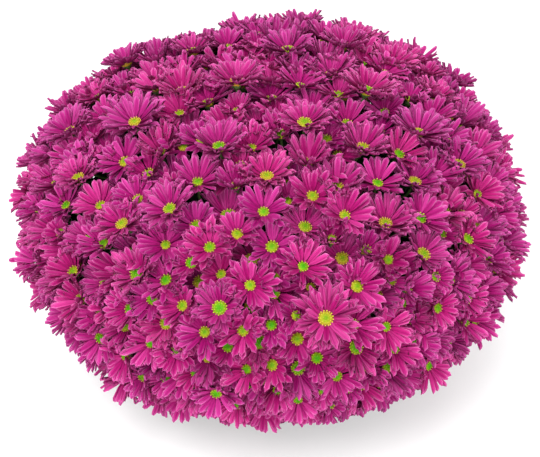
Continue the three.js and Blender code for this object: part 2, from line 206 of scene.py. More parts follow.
# The pot's outline from its foot up, as (outwards, upwards) from its foot, wall, rim band, lip and inside.
BASE_BOTTOM, BASE_TOP = 1.6, 4
FOOT_STEPS = [(-9, BASE_BOTTOM), (-7, 0), (-1.5, 0), (-0.2, 1.2)]
WALL_STEPS = [(-0.6, 10), (0, 11)]
BAND_STEPS = [(0, 0), (RIM_OVERHANG - 0.8, 0), (RIM_OVERHANG, 1)]
LIP_STEPS = [(-0.4, -1.6), (-1.4, -0.3), (-3, 0)]
INSIDE_STEPS = [(0, 0), (-0.6, -0.8)]
POT_SIDES = 96
POT_SHARP_ANGLE = math.radians(28)
WELD_WITHIN = 1e-7
DRAIN_SIDES = 24
DRAIN_LOW, DRAIN_HIGH = -5, 12
SOIL_BOTTOM = 4.4
SOIL_CLEARANCE, SOIL_FLOOR_CLEARANCE, SOIL_MIDDLE = 2.6, 0.6, 0.5
SOIL_RINGS, SOIL_SIDES = 26, 84
CRUMBS = (-1.3, 0.9)
CRUMB_SWING = 0.4
RIM_CRUMBS = 0.25
CROWN_SPAN = 0.4
SOIL_SINK = 1


def unit(v):
    """A vector scaled to length 1."""
    return v / np.linalg.norm(v)


def turned_about(v, axis, angle):
    """A vector turned about a unit axis."""
    c, s = math.cos(angle), math.sin(angle)
    return v * c + np.cross(axis, v) * s + axis * np.dot(axis, v) * (1 - c)


def cross_axes(axis, spin):
    """Two unit vectors square to an axis, turned about it by a spin."""
    helper = np.array([1.0, 0.0, 0.0] if abs(axis[0]) < NEAR_X else [0.0, 1.0, 0.0])
    first = turned_about(unit(np.cross(axis, helper)), axis, spin)
    return first, np.cross(axis, first)


def bezier(a, b, c, d, count):
    """Points along a cubic curve."""
    t = np.linspace(0, 1, count)[:, None]
    return a * (1 - t) ** 3 + 3 * b * t * (1 - t) ** 2 + 3 * c * t**2 * (1 - t) + d * t**3


def ring_of(sides, first, second):
    """Directions all the way round, from two unit vectors square to each other."""
    turns = np.arange(sides) * TURN / sides
    return np.outer(np.cos(turns), first) + np.outer(np.sin(turns), second)


# The frame's layout


def seeded_random(seed):
    """The frame's own stream of numbers from 0 to 1."""
    state = [seed]

    def draw():
        state[0] = (state[0] * 1664525 + 1013904223) % 4294967296
        return state[0] / 4294967296

    return draw


def area_table():
    """Makes the rule that gives the polar angle with a given share of the dome's area above it."""
    last = math.acos((SKIRT_HEIGHT - DOME_MIDDLE) / DOME_HALF_HEIGHT)
    sums = [0.0]
    for i in range(AREA_STEPS):
        polar = ((i + 0.5) / AREA_STEPS) * last
        ring = DOME_RADIUS * math.sin(polar)
        slope = math.hypot(DOME_RADIUS * math.cos(polar), DOME_HALF_HEIGHT * math.sin(polar))
        sums.append(sums[-1] + ring * slope)

    def polar_at(share):
        wanted = share * sums[-1]
        i = 1
        while sums[i] < wanted:
            i += 1
        return ((i - 1 + (wanted - sums[i - 1]) / (sums[i] - sums[i - 1])) / AREA_STEPS) * last

    return polar_at


def dome_point(polar, bearing):
    """A point of the dome and its outward normal."""
    sine, cosine = math.sin(polar), math.cos(polar)
    east, north = math.cos(bearing), math.sin(bearing)
    sphere = np.array([sine * east, sine * north, cosine])
    normal = unit(sphere / DOME_RADII)
    swell = LEAN_SWELL * east * cosine + LOBE_SWELL * math.cos(3 * bearing) * sine * sine
    return sphere * DOME_RADII + UP * DOME_MIDDLE + normal * swell, normal


def dome_share(point):
    """How far out a point is: 0 at the dome's middle and 1 on its surface."""
    return np.linalg.norm((point - UP * DOME_MIDDLE) / DOME_RADII)


def make_sprays(polar_at):
    """The sprays: the middle of each on the dome and the path of its main stem."""
    sprays = []
    for k in range(SPRAY_COUNT):
        polar = polar_at((k + 0.5) / SPRAY_COUNT)
        bearing = k * GOLDEN_ANGLE
        middle, _ = dome_point(polar, bearing)
        outwards = np.array([math.cos(bearing), math.sin(bearing), 0.0])
        rooted = ROOTED_RADIUS * (polar / polar_at(1))
        turning = outwards * FORK_RADIUS * math.sin(min(polar, TURN / 4)) + UP * FORK_HEIGHT
        fork = middle + FORK_DEPTH * unit(turning - middle)
        reach = math.hypot(fork[0], fork[1])
        shoulder = outwards * (rooted + SHOULDER_REACH * (reach - rooted))
        straight = SOIL_TOP + SHOULDER_RISE * (fork[2] - SOIL_TOP)
        shoulder[2] = max(straight, POT_HEIGHT + RIM_PASS) if reach > POT_TOP_RADIUS else straight
        spray = {"middle": middle, "fork": fork, "shoulder": shoulder, "leads": [], "fillers": []}
        spray["collar"] = outwards * rooted + UP * (SOIL_TOP + COLLAR_HEIGHT)
        spray["foot"] = outwards * rooted + UP * (SOIL_TOP - HOLE_DEPTH)
        sprays.append(spray)
    return sprays


def nearest_spray(sprays, point):
    """The spray whose middle is nearest to a point."""
    return min(sprays, key=lambda spray: np.linalg.norm(spray["middle"] - point))


def node_points(name):
    """The corners of a frame node, in millimetres."""
    return np.array([corner.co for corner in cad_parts[name].data.vertices]) / MM


def has_corner(corners, point):
    """Whether a frame node has a corner at a point."""
    return np.min(np.abs(corners - point).max(axis=1)) < FOUND_WITHIN


def settle(bloom, petals, corners):
    """Reads a lead bloom's level and size off its spray in the frame."""
    home, facing = bloom["home"], bloom["facing"]
    levels = [v for v in LEVELS if has_corner(corners, home + facing * (v + DISC_HEIGHT))]
    if not levels:
        raise RuntimeError("a lead bloom isn't where the frame has it")
    bloom["centre"] = home + facing * levels[0]
    turn = -0.5 * TURN / petals * TIP_HALF_ANGLE_SHARE
    side = bloom["right"] * math.cos(turn) + bloom["ahead"] * math.sin(turn)
    for shrinks in range(SHRINK_ROUNDS + 1):
        radius = bloom["radius"] * SHRINK**shrinks
        if has_corner(corners, bloom["centre"] + side * radius + facing * PETAL_RISE):
            bloom["radius"] = radius
            return
    raise RuntimeError("a lead bloom hasn't the size that the frame has")


def ripe_and_lit_share(home, rng):
    """How far a bloom's eye has turned from green to ochre: by chance as ripeness, and more up the dome,
    partly as ripeness and partly as painted light where the top blooms catch the light.
    """
    height = max(0.0, (home[2] - DOME_MIDDLE) / DOME_HALF_HEIGHT)
    return min(1.0, RIPE_BY_CHANCE * rng.random() + RIPE_AND_LIT_BY_HEIGHT * height)


def cupped_share(rng):
    """How far a smaller bloom is still cupped: most have opened, and some are half open."""
    if rng.random() < FILLERS_OPEN:
        return max(0.0, rng.normal(*OPEN_CUPPED))
    return rng.uniform(*HALF_OPEN_CUPPED)


def make_leads(polar_at, sprays, rng):
    """The lead blooms, one for each bloom in the frame."""
    random = seeded_random(FRAME_SEED)

    def spread():
        return 2 * random() - 1

    corners = {id(spray): node_points(f"spray_{k + 1:02d}") for k, spray in enumerate(sprays)}
    for i in range(BLOOM_COUNT):
        ring_polar = polar_at((i + 0.5) / BLOOM_COUNT)
        ring_radius = max(TOP_MARGIN, DOME_RADIUS * math.sin(ring_polar))
        polar = abs(ring_polar + spread() * PLACE_SPREAD / DOME_RADIUS)
        bearing = i * GOLDEN_ANGLE + spread() * PLACE_SPREAD / ring_radius
        home, normal = dome_point(polar, bearing)
        tilt = np.array([spread(), spread(), spread()]) * TILT_SPREAD
        facing = unit(normal + UP * UPTURN + tilt)
        radius = BLOOM_RADIUS * (SMALLEST_SHARE + (LARGEST_SHARE - SMALLEST_SHARE) * random())
        right, ahead = cross_axes(facing, random() * TURN)
        bloom = {"home": home, "facing": facing, "right": right, "ahead": ahead, "radius": radius}
        spray = nearest_spray(sprays, home)
        spray["leads"].append(bloom)
        settle(bloom, PETALS_LARGE if radius > LARGE_FROM else PETALS_SMALL, corners[id(spray)])
    for spray in sprays:
        down = unit(spray["shoulder"] - spray["fork"])
        spray["leads"].sort(key=lambda bloom: np.dot(bloom["home"] - spray["fork"], down))
        for order, bloom in enumerate(spray["leads"]):
            bloom.update(
                junction=spray["fork"] + down * order * JUNCTION_SPACING,
                lead=True,
                least=LEAST_LENGTH,
                whorls=LEAD_WHORLS,
                radius=bloom["radius"] * rng.uniform(*LEAD_SIZES),
                cupped=max(0.0, rng.normal(*LEAD_CUPPED)),
                ripe=ripe_and_lit_share(bloom["home"], rng),
                eye=LEAD_EYE * rng.uniform(*LEAD_EYE_SHARES),
            )
    return [bloom for spray in sprays for bloom in spray["leads"]]


def skirt_sag(home):
    """How far the low blooms hang out and down at the two front corners of the skirt."""
    bearing = math.atan2(home[1], home[0])
    near = sum(math.exp(-(((bearing - corner) / SAG_SPREAD) ** 2)) for corner in SAG_BEARINGS)
    low = min(1.0, max(0.0, (SAG_BELOW - home[2]) / (SAG_BELOW - SKIRT_HEIGHT)))
    return near * low * (SAG_OUT * unit(home * [1, 1, 0]) - SAG_DOWN * UP)


def make_fillers(polar_at, sprays, leads, rng):
    """Smaller, half-open and deeper blooms, each set in the widest gap that the others leave."""
    spots = []
    for _ in range(FILLER_SPOTS):
        polar = polar_at(FILLER_LOWEST * rng.random())
        spots.append(dome_point(polar, TURN * rng.random()))
    homes, normals = (np.array(part) for part in zip(*spots))
    facings = normals + UP * FILLER_UPTURN
    covers = homes + COVER_RISE * facings / np.linalg.norm(facings, axis=1)[:, None]
    nearest = np.full(FILLER_SPOTS, math.inf)
    gaps = SKIRT_ROOM + homes[:, 2] - homes[:, 2].min()

    def close_in(bloom):
        away = np.linalg.norm(covers - bloom["centre"] - bloom["facing"] * COVER_RISE, axis=1)
        np.minimum(nearest, away, out=nearest)
        covered = bloom["radius"] * (1 - CUPPED_COVER * bloom["cupped"])
        np.minimum(gaps, away - FILLER_CROWDING * covered, out=gaps)

    for bloom in leads:
        close_in(bloom)
    fillers = []
    for order in range(FILLER_COUNT + DEEP_COUNT):
        deep = order >= FILLER_COUNT
        radii, extra = (DEEP_RADII, DEEP_EXTRA) if deep else (FILLER_RADII, 0)
        spot = int(gaps.argmax())
        home, normal, gap = homes[spot], normals[spot], gaps[spot]
        depth = FILLER_DEPTH - DEPTH_BY_GAP * gap + rng.uniform(-DEPTH_SPREAD, DEPTH_SPREAD)
        depth = float(np.clip(depth, *DEPTH_LIMITS)) + extra
        low = min(1.0, max(0.0, (DOME_MIDDLE - home[2]) / LOW_SPAN))
        depth += CROWN_DROP * max(0.0, normal[2] - CROWN_FROM) - LOW_RISE * low
        size = (SIZE_BY_GAP - LOW_SHRINK * low) * nearest[spot] + rng.uniform(*SIZE_SPREAD)
        facing = unit(normal + UP * FILLER_UPTURN + rng.uniform(-1, 1, 3) * TILT_SPREAD * FILLER_TILT)
        right, ahead = cross_axes(facing, rng.random() * TURN)
        spray = nearest_spray(sprays, home)
        along = rng.uniform(*JUNCTION_PLACES)
        bloom = {
            "home": home,
            "centre": home - normal * depth + skirt_sag(home),
            "facing": facing,
            "right": right,
            "ahead": ahead,
            "radius": float(np.clip(size, *radii)),
            "whorls": DEEP_WHORLS if deep else FILLER_WHORLS,
            "lead": False,
            "least": DEEP_LEAST_LENGTH if deep else LEAST_LENGTH,
            "cupped": cupped_share(rng),
            "ripe": FILLER_RIPE_AND_LIT * ripe_and_lit_share(home, rng),
            "eye": FILLER_EYE * rng.uniform(*FILLER_EYE_SHARES),
            "junction": spray["fork"] * (1 - along) + spray["shoulder"] * along,
        }
        close_in(bloom)
        gaps[spot] = -math.inf
        spray["fillers"].append(bloom)
        fillers.append(bloom)
    return fillers


# Mesh pieces


class Piece:
    """Gathers patches of points and faces, with UVs and a tone colour, into one mesh."""

    def __init__(self):
        self.points, self.quads, self.tris, self.uvs, self.tones, self.rims = [], [], [], [], [], []
        self.count = 0

    def add(self, points, quads=(), tris=(), uvs=None, tone=(0.5, 0.5, 0.5), rim=None):
        """Adds a patch. The tone is one for all or one a point, and edges within the rim shade sharp."""
        n = len(points)
        self.points.append(points)
        if len(quads):
            self.quads.append(np.asarray(quads) + self.count)
        if len(tris):
            self.tris.append(np.asarray(tris) + self.count)
        self.uvs.append(np.zeros((n, 2)) if uvs is None else uvs)
        self.tones.append(np.broadcast_to(np.asarray(tone, float), (n, 3)))
        self.rims.append(np.zeros(n, bool) if rim is None else rim)
        self.count += n

    def build(self, name, material, slot):
        """Makes the object and rides it on the root; its slot is not used."""
        quads, tris = np.concatenate(self.quads), np.concatenate(self.tris)
        points = np.concatenate(self.points) * MM
        mesh = bpy.data.meshes.new(name)
        mesh.from_pydata(points, [], quads.tolist() + tris.tolist(), shade_flat=False)
        corners = np.concatenate([quads.ravel(), tris.ravel()])
        layer = mesh.uv_layers.new(name="uv")
        layer.data.foreach_set("uv", np.concatenate(self.uvs)[corners].astype(np.float32).ravel())
        tones = np.concatenate([np.concatenate(self.tones), np.ones((self.count, 1))], axis=1)
        tone = mesh.color_attributes.new("tone", "FLOAT_COLOR", "POINT")
        tone.data.foreach_set("color", tones.astype(np.float32).ravel())
        ends = np.zeros(2 * len(mesh.edges), np.int32)
        mesh.edges.foreach_get("vertices", ends)
        sharp = np.concatenate(self.rims)[ends.reshape(-1, 2)].all(axis=1)
        mesh.attributes.new("sharp_edge", "BOOLEAN", "EDGE").data.foreach_set("value", sharp)
        return dressed(mesh, name, material)


def placed(name, data):
    """A new object in the scene."""
    made = bpy.data.objects.new(name, data)
    bpy.context.scene.collection.objects.link(made)
    return made


def dressed(mesh, name, material):
    """An object of a mesh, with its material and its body."""
    mesh.materials.append(material)
    shown = placed(name, mesh)
    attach(shown, "root")
    return shown


def blade_faces(rows, columns):
    """Faces of a closed blade with a pointed base: a grid on top, and an underside up to its rim.

    The points are the base, the grid row by row, then a middle line under each row but the last.
    """
    last, low = columns - 1, 1 + (rows - 1) * columns
    quads, tris = [], [[0, 1 + j, 2 + j] for j in range(last)]
    tris += [[low, 1, 0], [low, 0, 1 + last]]
    for i in range(1, rows - 1):
        here, there = 1 + (i - 1) * columns, 1 + i * columns
        a, b = low + i - 1, low + i
        for j in range(last):
            quads.append([here + j, there + j, there + j + 1, here + j + 1])
        if i < rows - 2:
            quads += [[a, b, there, here], [there + last, b, a, here + last]]
        else:
            tris += [[a, there, here], [a, here + last, there + last]]
            tris += [[a, there + j + 1, there + j] for j in range(last)]
    grid_rim = np.zeros((rows - 1, columns), bool)
    grid_rim[:, [0, -1]] = True
    grid_rim[-1] = True
    rim = np.concatenate([[True], grid_rim.ravel(), np.zeros(rows - 2, bool)])
    return np.array(quads), np.array(tris), rim


def blade_points(top, thickness):
    """A blade's points from its grid, whose first row shrinks to the base, and its thickness vectors."""
    middle = top.shape[1] // 2
    under = top[1:-1, middle] - thickness
    return np.concatenate([top[:1, middle], top[1:].reshape(-1, 3), under])


def blade_uvs(along, across):
    """A blade's UVs from its stations along it and the grid's places across, each from 0 to 1."""
    rows, columns = across.shape
    u = np.concatenate([[0.5], across[1:].ravel(), np.full(rows - 2, 0.5)])
    v = np.concatenate([[0.0], np.repeat(along[1:], columns), along[1:-1]])
    return np.column_stack([u, v])


def blade_tones(rim, tone, inner):
    """A blade's tones: the third number is 1 on the middle line of its underside."""
    tones = np.tile(np.array(tone, float), (len(rim), 1))
    tones[-inner:, 2] = 1.0
    return tones


def tube(piece, path, radii, sides, tone):
    """A smooth tube with closed ends along a path."""
    rows = len(path)
    tangents = np.gradient(path, axis=0)
    side = cross_axes(unit(tangents[0]), 0)[0]
    points = []
    for centre, tangent, radius in zip(path, tangents, radii):
        along = unit(tangent)
        side = unit(side - along * np.dot(side, along))
        points.append(centre + radius * ring_of(sides, side, np.cross(along, side)))
    points.append(np.array([path[0], path[-1]]))
    uv = ring_uvs(rows, sides, 2)
    piece.add(np.concatenate(points), ring_quads(rows, sides), end_fans(rows, sides), uv, tone)


def ring_quads(rows, sides):
    """The quads between rings of points, each ring turning anticlockwise about the way up."""
    quads = []
    for i in range(rows - 1):
        for j in range(sides):
            a, b = i * sides + j, i * sides + (j + 1) % sides
            quads.append([a, b, b + sides, a + sides])
    return np.array(quads)


def end_fans(rows, sides):
    """The triangles that close a stack of rings, about the middle of its first ring and of its last."""
    first, last, end = rows * sides, rows * sides + 1, (rows - 1) * sides
    fans = [[first, (j + 1) % sides, j] for j in range(sides)]
    return fans + [[last, end + j, end + (j + 1) % sides] for j in range(sides)]


def ring_uvs(rows, sides, spare):
    """UVs of rings of points, u around and v from the first ring to the last, with some spare points."""
    uv = np.zeros((rows * sides + spare, 2))
    uv[: rows * sides, 0] = np.tile(np.arange(sides) / sides, rows)
    uv[: rows * sides, 1] = np.repeat(np.linspace(0, 1, rows), sides)
    return uv


# Blooms


def petal_template(stations, columns):
    """A unit petal: its stations along and across, its width at each, and its faces."""
    along = np.array(stations)
    # The petal is widest past its middle and rounds off to the tip.
    swell = np.sin(along**0.8 * math.pi * 0.62) ** 1.2
    tip = np.sqrt(np.clip(1 - ((np.maximum(along, TIP_FROM) - TIP_FROM) / TIP_SPAN) ** 2, 0, 1))
    across = np.linspace(-1, 1, columns)
    quads, tris, rim = blade_faces(len(along), columns)
    return {
        "along": along[:, None],
        "across": across[None, :],
        "width": ((PETAL_FOOT_WIDTH + (1 - PETAL_FOOT_WIDTH) * swell) * tip)[:, None],
        "quads": quads,
        "tris": tris,
        "rim": rim,
        "uv": blade_uvs(along, np.tile(across * 0.5 + 0.5, (len(along), 1))),
    }


FINE_PETAL = petal_template([0, 0.32, 0.78, 1], 5)
COARSE_PETAL = petal_template([0, 0.35, 0.82, 1], 3)


def add_petal(piece, template, axes, shape, tone):
    """One petal as a closed thin blade, channelled along its length, with a rounded or notched tip.

    The axes are its base, outwards, sideways and upwards. The shape is a dict of its sizes.
    """
    base, out, side, up = axes
    v, s = template["along"], template["across"]
    half = shape["half_width"] * template["width"]
    length, curl = shape["length"], shape["curl"]
    retreat = TIP_ROUNDING * s**2 + abs(shape["notch"]) * (1 - np.abs(s)) ** 2
    ahead = length * (v - CURL_BACK * curl * v**3 - v**8 * retreat)
    lateral = s * half + shape["bend"] * length * v**2
    lift = shape["rise"] * v**1.15 + CURL_LIFT * curl * length * (v**2 - v**3.2)
    lift = lift + half * (shape["channel"] * s**2 + PETAL_RIDGE * np.cos(TURN * s))
    top = base + ahead[..., None] * out + lateral[..., None] * side + lift[..., None] * up
    rim = template["rim"]
    uv = template["uv"] + [math.floor(STREAK_PATTERNS * tone[0]), 0]
    tones = blade_tones(rim, tone, len(v) - 2)
    points = blade_points(top, up * PETAL_THICKNESS)
    piece.add(points, template["quads"], template["tris"], uv, tones, rim)


def petal_reach(base, out, side, facing, length, eyes):
    """How far a petal runs before it would cover the eye of a neighbouring bloom."""
    away = eyes[:, :3] - base
    ahead, beside, above = away @ out, np.abs(away @ side), away @ facing
    radii = eyes[:, 3]
    covers = (ahead > 0) & (ahead < length + radii) & (beside < radii)
    covers &= (above < EYE_COVER_ABOVE) & (above > -EYE_COVER_BELOW)
    return min(length, float((ahead - radii)[covers].min())) if covers.any() else length


def add_bloom(petals, discs, bloom, eyes, rng):
    """All petals and the eye of one bloom."""
    centre, facing, radius = bloom["centre"], bloom["facing"], bloom["radius"]
    size = radius / BLOOM_RADIUS
    around = np.linalg.norm(eyes[:, :3] - centre, axis=1)
    near = eyes[(around > 1) & (around < radius + NEIGHBOUR_REACH)]
    bloom_tone = rng.random()
    start = rng.random() * TURN
    for order, (count, share, rise, low, half_width, from_share) in enumerate(bloom["whorls"]):
        template = FINE_PETAL if bloom["lead"] and order < 2 else COARSE_PETAL
        start += math.pi / count + rng.normal(0, WHORL_TURN_SPREAD)
        for k in range(count):
            shape = {name: rng.normal(*spread) for name, spread in PETAL_DRAWS.items()}
            turn = start + k * TURN / count + shape["turn"]
            out = bloom["right"] * math.cos(turn) + bloom["ahead"] * math.sin(turn)
            side = np.cross(facing, out)
            inner = bloom["eye"] * from_share
            base = centre + facing * low + out * inner
            shape["half_width"] *= half_width * (WIDTH_FIXED + (1 - WIDTH_FIXED) * size)
            shape["rise"] *= (rise * size - low) * (1 + CUPPED_HIGHER * bloom["cupped"])
            shape["length"] *= (radius * share - inner) * (1 - CUPPED_SHORTER * bloom["cupped"])
            reach = petal_reach(base, out, side, facing, shape["length"], near)
            shape["length"] = max(reach, bloom["least"] * shape["length"])
            roll = shape["roll"]
            tilted = side * math.cos(roll) + facing * math.sin(roll)
            up = facing * math.cos(roll) - side * math.sin(roll)
            tone = (rng.random(), bloom_tone, 0.0)
            add_petal(petals, template, (base, out, tilted, up), shape, tone)
    add_disc(discs, bloom, rng)


def add_disc(discs, bloom, rng):
    """The eye of a bloom: a low dome with a dimple, set with circles of florets."""
    facing, right, ahead, radius = bloom["facing"], bloom["right"], bloom["ahead"], bloom["eye"]
    lead, ripe = bloom["lead"], bloom["ripe"]
    rings, around = (3, 10) if lead else (2, 8)
    circles, sides = (LEAD_FLORETS, 4) if lead else (FILLER_FLORETS, 3)
    base = bloom["centre"] + facing * EYE_BASE
    height = radius * EYE_HEIGHT
    rim = ring_of(around, right, ahead)

    def lift(share):
        dimple = max(0.0, 1 - DIMPLE_NARROWNESS * share) ** 2
        return height * (1 - share**2) - DIMPLE_DEPTH * height * dimple

    points = [[base + facing * lift(0)]]
    shares = [0.0]
    for i in range(1, rings + 1):
        share = i / rings
        points.append(base + rim * radius * share + facing * lift(share))
        shares += [share] * around
    points.append(base + rim * radius * EYE_FOOT - facing * EYE_FOOT_DEPTH)
    shares += [1.0] * around
    tris = [[0, 1 + j, 1 + (j + 1) % around] for j in range(around)]
    quads = 1 + ring_quads(rings + 1, around)[:, [0, 3, 2, 1]]
    uv = np.column_stack([shares, np.full(len(shares), ripe)])
    discs.add(np.concatenate(points), quads, tris, uv, (rng.random(), ripe, 0.0))
    body = ring_quads(2, sides)
    cap = [[sides + j, sides + (j + 1) % sides, 2 * sides] for j in range(sides)]
    tips = [0.0] * sides + [0.6] * sides + [1.0]
    for count, share, width in circles:
        tones = [[share, ripe, tip] for tip in tips]
        for n in range(count):
            turn = (n + rng.uniform(-FLORET_PLAY, FLORET_PLAY)) * TURN / count
            out = right * math.cos(turn) + ahead * math.sin(turn)
            lean = unit(facing + out * FLORET_LEAN * share)
            wide = width * radius
            tall = wide * (1 + FLORET_TALLER * share**3) * (1 + rng.normal(0, FLORET_SPREAD))
            root = base + out * radius * share + facing * (lift(share) + FLORET_LIFT)
            low = ring_of(sides, *cross_axes(lean, turn)) * wide
            shoulder = root + low * FLORET_TOP + lean * tall * FLORET_SHOULDER
            block = np.concatenate([root + low, shoulder, [root + lean * tall]])
            discs.add(block, body, cap, np.tile([share, ripe], (len(block), 1)), tones)


def add_cup_and_stem(stems, bloom, rng):
    """The green cup of bracts under a bloom, and the stem that bends down from it to its junction."""
    centre, facing, junction = bloom["centre"], bloom["facing"], bloom["junction"]
    size = bloom["radius"] / BLOOM_RADIUS
    rows = 5 if bloom["lead"] else 4
    end = centre - facing * CALYX_DEPTH * size
    straight = min(STEM_STRAIGHT, STEM_STRAIGHT_SHARE * np.linalg.norm(end - junction))
    leaving = junction + (end - junction) * STEM_LEAVES_ALONG
    path = bezier(junction, leaving, end - facing * straight, end, rows)
    radii = BLOOM_STEM_RADIUS * np.linspace(*STEM_TAPER, rows)
    tube(stems, path, radii, STEM_SIDES, (STEM_YOUTH, rng.random(), 0))
    rim = ring_of(CUP_SIDES, bloom["right"], bloom["ahead"])
    points = [centre + size * (rim * away + facing * height) for away, height in CUP_PROFILE]
    quads, uv = ring_quads(len(points), CUP_SIDES), ring_uvs(len(points), CUP_SIDES, 0)
    stems.add(np.concatenate(points), quads, (), uv, (CUP_YOUTH, rng.random(), 0))


# Leaves and main stems

# A leaf's outline as (share of its length, half width as a share of it).
LEAF_OUTLINE = [
    (0.00, 0.018), (0.18, 0.026), (0.27, 0.075), (0.33, 0.175), (0.39, 0.210), (0.46, 0.120), (0.55, 0.200),
    (0.62, 0.285), (0.68, 0.250), (0.74, 0.150), (0.82, 0.155), (0.90, 0.100), (0.96, 0.045), (1.00, 0.010),
]
LEAF_FACES = blade_faces(len(LEAF_OUTLINE), 3)


def add_leaf(leaves, base, along, normal, length, rng):
    """A lobed chrysanthemum leaf, arched and folded along its midrib, closed on both faces."""
    across = unit(np.cross(normal, along))
    normal = np.cross(along, across)
    droop, fold = rng.normal(*LEAF_DROOP), rng.normal(*LEAF_FOLD)
    share, width = np.array(LEAF_OUTLINE).T
    stations, outwards = share[:, None], np.outer(width, [-1, 0, 1])
    high = fold * np.abs(outwards) - droop * stations**2
    high = high + LEAF_WAVE * np.sin(9 * stations + 8 * outwards)
    spread = stations[..., None] * along + outwards[..., None] * across + high[..., None] * normal
    quads, tris, rim = LEAF_FACES
    points = blade_points(base + length * spread, normal * LEAF_THICKNESS * (2 - stations[1:-1]))
    tones = blade_tones(rim, (rng.random(), rng.random(), 0.0), len(share) - 2)
    leaves.add(points, quads, tris, blade_uvs(share, 0.5 + outwards), tones, rim)


def add_foliage(leaves, spray, rng):
    """Leaves on the bloom stems of a spray, spread out below its blooms."""
    hosts = spray["leads"] + spray["fillers"]
    for n in range(FOLIAGE_PER_SPRAY):
        host = hosts[n % len(hosts)]
        cup = host["centre"] - host["facing"] * CALYX_DEPTH
        place = rng.uniform(*LEAF_PLACES)
        base = cup * (1 - place) + host["junction"] * place
        stemwards = unit(cup - host["junction"])
        sideways, _ = cross_axes(stemwards, rng.random() * TURN)
        outwards = unit(base - UP * DOME_MIDDLE)
        along = unit(sideways + outwards * LEAF_OUTWARDS + stemwards * rng.uniform(*LEAF_STEMWARDS))
        length = rng.uniform(*LEAF_LENGTHS)
        while length > SHORTEST_LEAF and dome_share(base + along * length) > LEAF_LIMIT:
            length -= LEAF_STEP
        normal = unit(outwards + UP * LEAF_UPTURN + rng.normal(0, LEAF_TILT, 3))
        add_leaf(leaves, base, along, normal, length, rng)


def add_main_stem(stems, spray):
    """The woody main stem of a spray, upright in its hole and then bent over to the fork."""
    collar, shoulder, fork = spray["collar"], spray["shoulder"], spray["fork"]
    upright = collar + (collar - spray["foot"]) * TRUNK_UPRIGHT
    bend = bezier(collar, upright, shoulder + TRUNK_BEND * unit(shoulder - fork), fork, TRUNK_ROWS)
    path = np.concatenate([[spray["foot"]], bend])
    radii = MAIN_STEM_RADIUS * np.linspace(*TRUNK_TAPER, len(path))
    tube(stems, path, radii, TRUNK_SIDES, (TRUNK_YOUTH, 0.5, 0))


def level_ring(sides, radius, height):
    """A circle of points about the upright axis."""
    return np.column_stack([ring_of(sides, (1, 0), (0, 1)) * radius, np.full(sides, height)])


def lathe(profile, sides):
    """A closed body turned about the axis, from an outline of (radius, height) that starts and ends on it."""
    points = np.concatenate([level_ring(sides, radius, height) for radius, height in profile])
    made = bmesh.new()
    corners = [made.verts.new(point) for point in points * MM]
    for quad in ring_quads(len(profile), sides):
        made.faces.new([corners[q] for q in quad])
    bmesh.ops.remove_doubles(made, verts=made.verts, dist=WELD_WITHIN)
    return made


def pot_radius(height):
    """The outer radius of the pot's wall at a height."""
    return POT_FOOT_RADIUS + (POT_TOP_RADIUS - POT_FOOT_RADIUS) * height / POT_HEIGHT


def make_pot(material):
    """A tapered nursery pot: a stepped foot, a rolled rim band and drain holes."""
    band = POT_HEIGHT - RIM_HEIGHT
    outline = [(0, BASE_BOTTOM)] + [(POT_FOOT_RADIUS + out, up) for out, up in FOOT_STEPS]
    outline += [(pot_radius(up) + out, up) for out, up in WALL_STEPS]
    outline += [(pot_radius(band) + out, band + up) for out, up in BAND_STEPS]
    outline += [(POT_TOP_RADIUS + RIM_OVERHANG + out, POT_HEIGHT + up) for out, up in LIP_STEPS]
    outline += [(POT_TOP_RADIUS - POT_WALL + out, POT_HEIGHT + up) for out, up in INSIDE_STEPS]
    outline += [(pot_radius(BASE_TOP) - POT_WALL, BASE_TOP), (0, BASE_TOP)]
    mesh = bpy.data.meshes.new("pot_shell")
    lathe(outline, POT_SIDES).to_mesh(mesh)
    tool = bpy.data.meshes.new("drains")
    cutters = bmesh.new()
    cylinder = [(0, DRAIN_LOW), (DRAIN_RADIUS, DRAIN_LOW), (DRAIN_RADIUS, DRAIN_HIGH), (0, DRAIN_HIGH)]
    for i in range(DRAIN_COUNT):
        turn = (i + 0.5) * TURN / DRAIN_COUNT
        lathe(cylinder, DRAIN_SIDES).to_mesh(tool)
        place = Vector((math.cos(turn), math.sin(turn), 0)) * DRAIN_CIRCLE * MM
        tool.transform(Matrix.Translation(place))
        cutters.from_mesh(tool)
    cutters.to_mesh(tool)
    shown = dressed(mesh, "pot_shell", material)
    drains = placed("drains", tool)
    cut = shown.modifiers.new("drain_holes", "BOOLEAN")
    cut.object = drains
    cut.solver = "EXACT"
    finished = bpy.data.meshes.new_from_object(shown.evaluated_get(bpy.context.evaluated_depsgraph_get()))
    shown.modifiers.clear()
    shown.data = finished
    bpy.data.objects.remove(drains)
    finished.shade_smooth()
    finished.set_sharp_from_angle(angle=POT_SHARP_ANGLE)
    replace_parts(shown, "pot")


